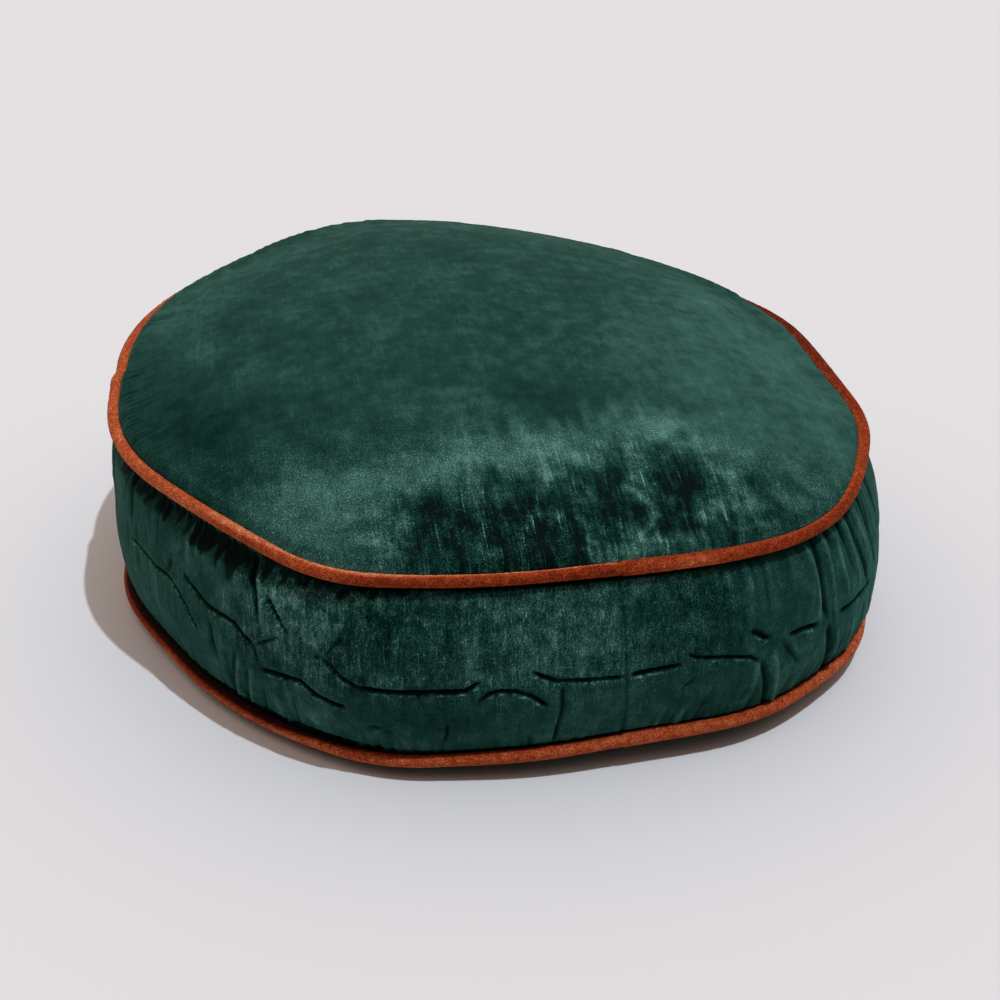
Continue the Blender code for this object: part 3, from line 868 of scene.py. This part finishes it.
# Gathers along both seams, drawn in by the stitches, and how strong they are by direction.
GATHER_SPACING = 0.0062
GATHER_DEPTH = 0.0012
GATHER_FAR = 0.03  # a gather is not felt farther along the band than this
BACK_GATHER_WIDER = 1.8
TOP_GATHERS = ((200, 1), (236, 1.1), (246, 0.7), (262, 0.35), (285, 0.3), (300, 0.5), (312, 1), (342, 1))
LOW_GATHERS = ((200, 0.9), (245, 0.9), (262, 0.5), (285, 0.5), (300, 0.8), (342, 0.9))
for strengths, from_seam in ((TOP_GATHERS, drop), (LOW_GATHERS, rise)):
    middle = 0.0
    while middle < arc[-1]:
        deep = GATHER_DEPTH * chance.uniform(0.3, 1.2)
        wide = chance.uniform(0.0011, 0.0020)
        if middle > np.interp(BACK_FROM, directions, arc):
            wide *= BACK_GATHER_WIDER
        stretch = chance.uniform(0.007, 0.020)
        lean = chance.uniform(-0.2, 0.2)
        near = np.abs(arc - middle) < GATHER_FAR
        deep *= read_off(strengths, np.interp(middle, arc, directions))[0]
        from_edge = from_seam[:, near]
        away = arc[near] - middle - lean * from_edge
        upright[:, near] -= deep * bell(away / wide) * bell(from_edge / stretch)
        middle += GATHER_SPACING * chance.uniform(0.6, 1.5)
ripple += upright
# Painted light on the ridges of the folds and gathers, and painted shade in their troughs.
nap += np.clip(upright * 1000.0 * FOLD_SHADE, FOLD_DARKEST, FOLD_LIGHTEST)

# Next to the pipings the gathered cloth lies in their shadow, painted dark out to a ragged edge: how far from
# the seam in millimetres, by direction.
TOP_CORD_SHADOW = (
    (180, 4), (195, 10), (207, 14), (222, 15), (228, 16), (234, 19), (238, 17), (241, 9.5), (250, 10),
    (256, 7), (260, 5), (265, 3), (271, 0.5), (300, 0.5), (312, 3.5), (345, 5), (360, 3),
)
LOW_CORD_SHADOW = (
    (195, 1), (215, 1.8), (228, 2.4), (252, 2.8), (258, 1.8), (268, 1.2), (300, 1), (312, 0.2), (350, 1),
)
CORD_SHADOW_DARK = 0.55
CORD_SHADOW_SOFT = 0.0018
TOOTH_CELLS = 420
TOOTH_DEPTH = 0.40
# Painted shadow of the pipings on the gathered cloth next to them.
for pressed, from_edge, seed in ((TOP_CORD_SHADOW, drop, 61), (LOW_CORD_SHADOW, rise, 62)):
    teeth = uneven(directions * TOOTH_CELLS / 360.0, np.zeros(columns), seed, TOOTH_CELLS)
    edge = read_off(pressed, directions)[0] / 1000.0 * (1.0 + TOOTH_DEPTH * teeth)
    nap -= CORD_SHADOW_DARK * ease((edge - from_edge) / CORD_SHADOW_SOFT)

# Along the front the band rolls out from under the upper piping, and the narrow gap there, deep in shade, is
# painted black.
TOP_GAP_SHADE = ((240, -1), (248, 2.6), (262, 3.4), (300, 3.2), (312, 2.0), (332, 0.6), (360, -1))
GAP_SHADE_DARK = 0.9
GAP_SHADE_SOFT = 0.0008
gap = read_off(TOP_GAP_SHADE, directions)[0] / 1000.0
nap -= GAP_SHADE_DARK * ease((gap - drop) / GAP_SHADE_SOFT + 0.5)

# The filling's own lumps show through.
for cells, lump_rise, amount, seed in ((40, 0.040, 0.0007, 41), (110, 0.030, 0.00035, 42)):
    ripple += amount * lumpy(cells, lump_rise, seed, 3.0) * np.sin(math.pi * shares)[:, None]

# The join of the strip's two ends, a pressed seam from the upper piping to the lower one.
JOIN_WIDTH = 0.0008
JOIN_DEPTH = 0.0006
JOIN_DARK = 0.16
join = bell(along_line(((288.8, 1.0), (288.9, 0.5), (289.4, 0.0)))[0] / JOIN_WIDTH)
ripple -= JOIN_DEPTH * join
nap -= JOIN_DARK * join

# Patches where the band's pile is lighter or darker, partly its own tone and partly painted light and shade,
# as (direction, share, degrees, share, turn, amount).
BAND_NAP_AND_LIGHT = (
    (246.5, 0.78, 8.5, 0.2, 0, 0.12), (259.5, 0.72, 4, 0.17, 0, -0.1), (260, 0.95, 7, 0.04, 0, 0.12),
    (280, 0.93, 17, 0.05, 0, 0.04), (281, 0.76, 8, 0.22, 0, 0.09), (297.5, 0.72, 9, 0.28, 0, -0.09),
    (246.5, 0.18, 5, 0.09, 0, 0.12), (262, 0.3, 14, 0.12, 0, -0.05), (278, 0.62, 12, 0.2, 0, 0.04),
    (272, 0.1, 30, 0.1, 0, 0.03),
)
patch_direction = directions + 1.4 * lumpy(144, 0.012, 51)
patch_share = shares[:, None] + 0.04 * lumpy(144, 0.012, 52)
patch_direction = BAND_START + (patch_direction - BAND_START) % 360.0
# The pile's own patches, with painted light and shade.
nap += soft_patches(patch_direction, patch_share, BAND_NAP_AND_LIGHT)
# Over the upper half of the front the pile is crushed, less so at its right, and its grain shows most.
FRONT_FROM, FRONT_FROM_EASE = 228.0, 14.0
FRONT_TO, FRONT_TO_EASE = 308.0, 8.0
RIGHT_FROM, RIGHT_EASE = 258.0, 8.0
BAND_GRAIN, FRONT_GRAIN = 0.50, 0.55  # everywhere, and added over the front
BAND_CRUSH, FRONT_CRUSH, RIGHT_LESS = 0.12, 0.36, 0.14
GRAIN_SHARE, GRAIN_SHARE_EASE = 0.26, 0.25
CRUSH_SHARE, CRUSH_SHARE_EASE = 0.30, 0.20
up = shares[:, None]
front = ease((directions - FRONT_FROM) / FRONT_FROM_EASE) * ease((FRONT_TO - directions) / FRONT_TO_EASE)
grain = BAND_GRAIN + FRONT_GRAIN * front * ease((up - GRAIN_SHARE) / GRAIN_SHARE_EASE)
crushed = FRONT_CRUSH - RIGHT_LESS * ease((directions - RIGHT_FROM) / RIGHT_EASE)
crush = BAND_CRUSH + crushed * front * ease((up - CRUSH_SHARE) / CRUSH_SHARE_EASE)

SEAM_CLEAR = 0.0015  # the folds die down to a third this close to a seam
reach = reach + ripple * (0.35 + 0.65 * ease(np.minimum(rise, drop) / SEAM_CLEAR))
sheet = outward(directions) * reach[..., None]
sheet[..., 2] = height
low_tuck = [seam_edge(lower_seam, BOTTOM_CORD, directions, angle) for angle in BAND_LOW_TUCK]
top_tuck = [seam_edge(upper_seam, TOP_CORD, directions, angle) for angle in BAND_TOP_TUCK]


def with_tucks(values, tucked):
    """The rows' values, with one value for the rows of the two tucks."""
    return np.pad(values, ((len(BAND_LOW_TUCK), len(BAND_TOP_TUCK)), (0, 0)), constant_values=tucked)


band = sew_rings(
    "boxing_band",
    low_tuck + list(sheet) + top_tuck,
    inside_ends=False,
    nap=with_tucks(nap, 0.1),
    crush=with_tucks(crush, 0.1),
    grain=with_tucks(grain, 0.3),
)
band.data.materials.append(crushed_green_velvet("green_velvet_crushed_band", 0.0, (0.0045, 0.0045, 0.030)))
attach(band, "root")
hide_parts("cushion")

# ----------------------------------------------------------------
# The bottom panel. A plain round of the same velvet, pressed flat by the cushion's weight and lifted a
# little towards the lower seam.

BOTTOM_LIP = -112.0
BOTTOM_TUCK = (-190.0, -160.0, -135.0)
BOTTOM_COLUMNS = 600
# Rows from the lip to the middle, as for the top panel.
BOTTOM_ROWS = ((0.80, 14, 1), (0.40, 12, 2), (0.12, 6, 4))
FLAT_SHARE = 0.80  # the panel lies flat inside this share of its reach

bottom_directions = all_round(BOTTOM_COLUMNS)
rings = [seam_edge(lower_seam, BOTTOM_CORD, bottom_directions, angle) for angle in BOTTOM_TUCK]
lip = seam_edge(lower_seam, BOTTOM_CORD, bottom_directions, BOTTOM_LIP)
lip_reach = np.hypot(lip[:, 0], lip[:, 1])
for share, keep in rows_inwards(BOTTOM_ROWS):
    ring = outward(bottom_directions[::keep]) * (lip_reach[::keep] * share)[:, None]
    ring[:, 2] = lip[::keep, 2] * ease((share - FLAT_SHARE) / (1.0 - FLAT_SHARE))
    rings.append(ring)
total = sum(len(r) for r in rings)
bottom_panel = sew_rings(
    "bottom_panel", rings, nap=np.full(total, 0.45), crush=np.full(total, 0.3), grain=np.full(total, 0.5)
)
bottom_panel.data.materials.append(
    crushed_green_velvet("green_velvet_pressed_bottom", 20.0, (0.0075, 0.045, 0.045))
)
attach(bottom_panel, "root")
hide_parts("cushion")

# ----------------------------------------------------------------
# The studio: a pale seamless floor, one high cool lamp from the front right, and soft warm light from above
# and behind, so that the side that faces the camera falls into shade.

bpy.ops.mesh.primitive_plane_add(size=14.0, location=(0.0, 2.0, 0.0))
floor = bpy.context.object
floor.name = "pale_floor"
floor_paint = bpy.data.materials.new("matt_pale_paper")
floor_paint.use_nodes = True
paper = {"Base Color": linear("#E3E4E7"), "Roughness": 0.95, "Specular IOR Level": 0.1}
for socket, value in paper.items():
    floor_paint.node_tree.nodes["Principled BSDF"].inputs[socket].default_value = value
floor.data.materials.append(floor_paint)

LAMP_DIRECTION = -34.0
LAMP_HEIGHT = 74.4
lamp_data = bpy.data.lights.new("high_lamp", "SUN")
lamp_data.energy = 1.69
lamp_data.color = (0.79, 0.91, 1.0)
lamp_data.angle = math.radians(1.1)
lamp = bpy.data.objects.new("high_lamp", lamp_data)
bpy.context.scene.collection.objects.link(lamp)
towards = Vector(outward(LAMP_DIRECTION)) * math.cos(math.radians(LAMP_HEIGHT))
towards.z = math.sin(math.radians(LAMP_HEIGHT))
lamp.rotation_mode = "QUATERNION"
lamp.rotation_quaternion = towards.to_track_quat("Z", "Y")

BRIGHT_SIDE = (-0.08, 0.62, 0.78)  # the soft light comes mostly from here
BRIGHT_LIGHT = (0.87, 0.71, 0.63, 1.0)
DIM_LIGHT = (0.042, 0.031, 0.024, 1.0)
world = bpy.data.worlds.new("soft_studio")
bpy.context.scene.world = world
world.use_nodes = True
tree = world.node_tree
tree.nodes.clear()
way = add_node(tree, "TexCoord").outputs["Generated"]
side = add_node(tree, "VectorMath", {0: way, 1: BRIGHT_SIDE}, operation="DOT_PRODUCT").outputs["Value"]
amount = add_node(
    tree, "MapRange", {"Value": side, "From Min": -0.10, "From Max": 0.80}, interpolation_type="SMOOTHSTEP"
)
soft = add_node(tree, "Mix", {0: amount.outputs[0], 6: DIM_LIGHT, 7: BRIGHT_LIGHT}, data_type="RGBA")
seen = add_node(tree, "LightPath").outputs["Is Camera Ray"]
shown = {0: seen, 6: soft.outputs[2], 7: linear("#E2E0E2")}
shown = add_node(tree, "Mix", shown, data_type="RGBA").outputs[2]
background = add_node(tree, "Background", {"Color": shown, "Strength": 1.0})
add_node(tree, "OutputWorld", {"Surface": background.outputs[0]})

bpy.context.scene.view_settings.view_transform = "Standard"

camera_data = bpy.data.cameras.new("studio_camera")
camera_data.lens = 74.6
camera = bpy.data.objects.new("studio_camera", camera_data)
bpy.context.scene.collection.objects.link(camera)
camera.location = (0.0, -1.0919, 0.6685)
camera.rotation_mode = "QUATERNION"
camera.rotation_quaternion = (Vector((0.0128, 0.0, 0.0387)) - camera.location).to_track_quat("-Z", "Y")
bpy.context.scene.camera = camera
